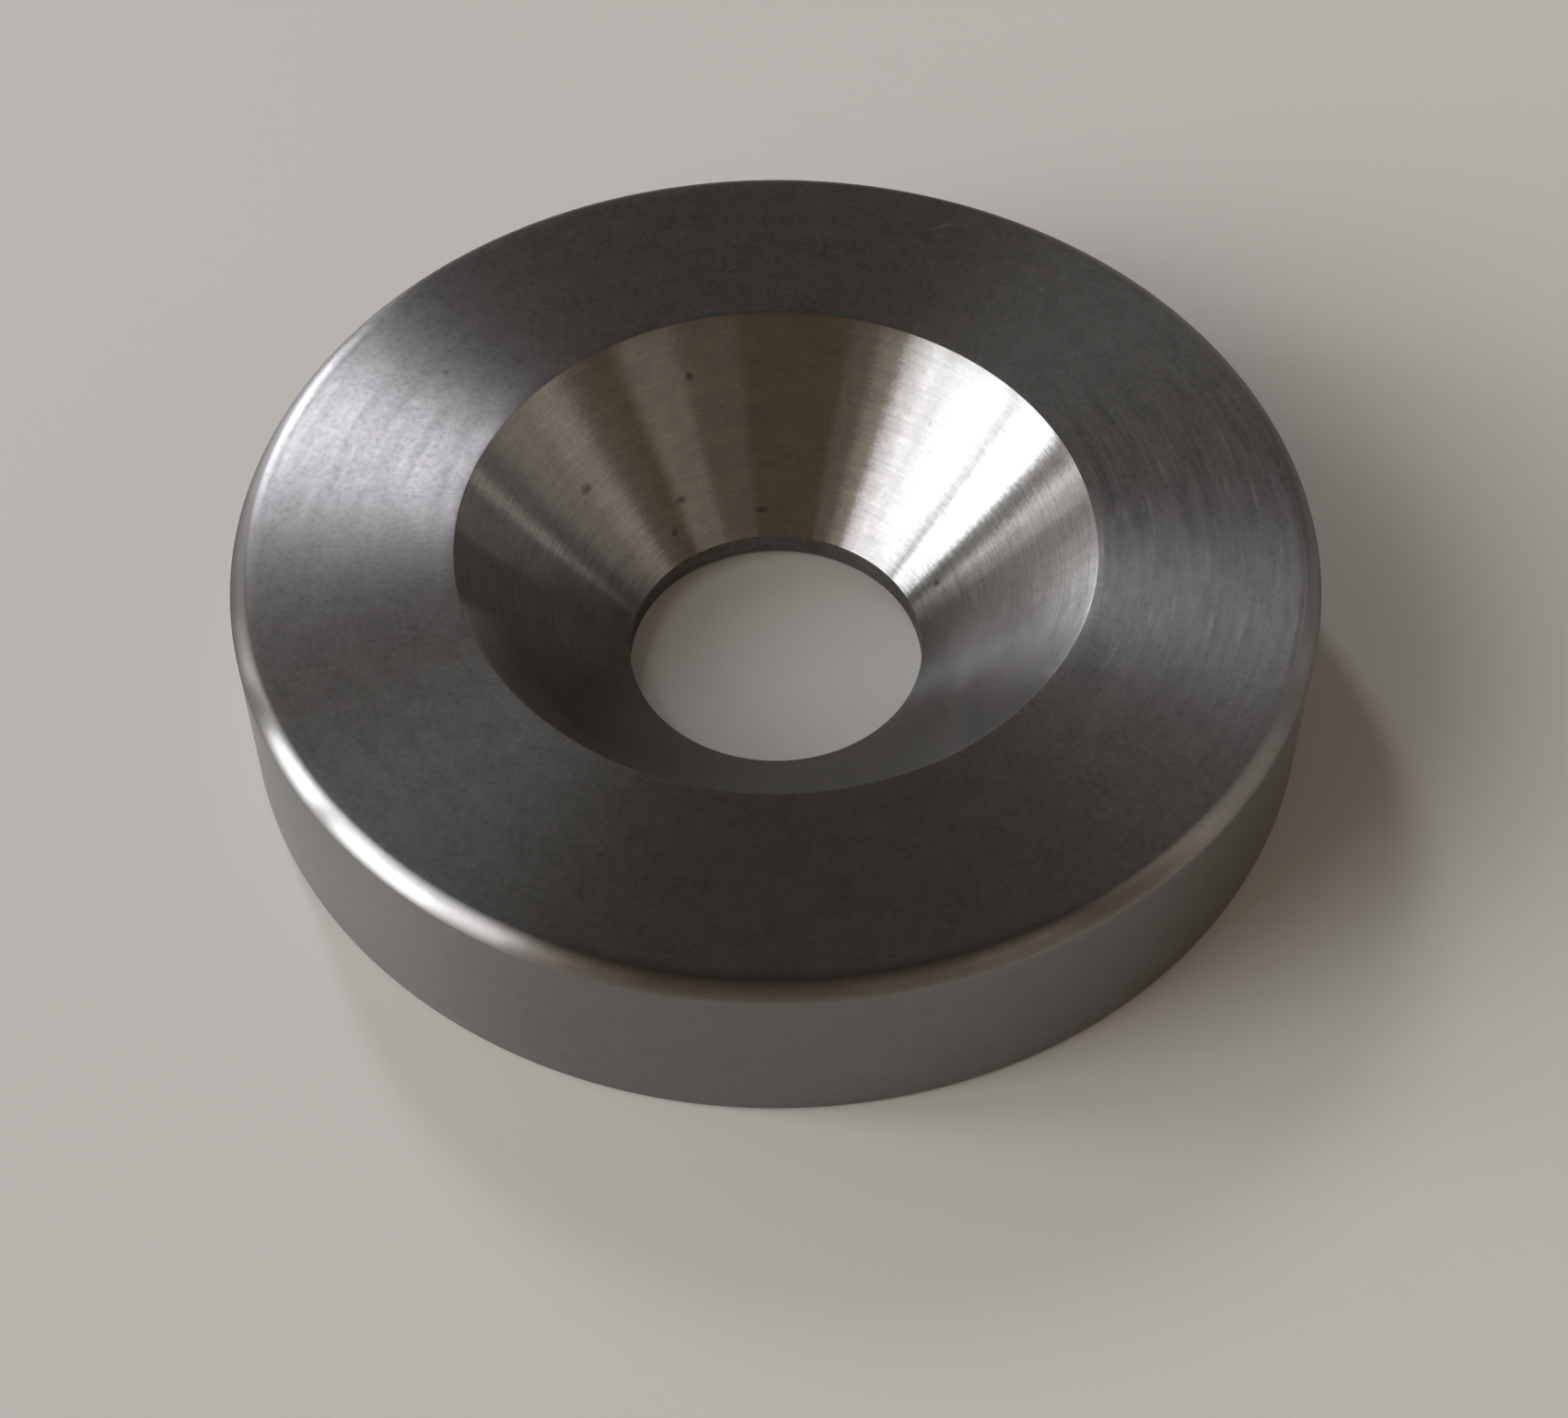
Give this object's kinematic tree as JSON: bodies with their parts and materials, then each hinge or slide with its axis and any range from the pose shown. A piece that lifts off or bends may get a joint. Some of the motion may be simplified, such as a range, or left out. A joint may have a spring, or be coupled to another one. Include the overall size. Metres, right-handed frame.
{
  "type": "countersunk shaft collar",
  "caption": "Flat turned stainless disc with a central clearance hole under a wide 90 degree countersink and a rounded upper rim edge; seats a flush screw on a shaft end or flat work.",
  "frame": {"origin": "centre of the plain bottom face, on the bore's axis", "axes": "+Z along the bore's axis, from the plain face towards the countersunk face; X and Y are alike because the part is turned"},
  "size_m": [0.03, 0.03, 0.0054],
  "materials": {
    "turned_stainless": "fine turned"
  },
  "bodies": {
    "root": {"collar": "turned_stainless"}
  },
  "joints": []
}
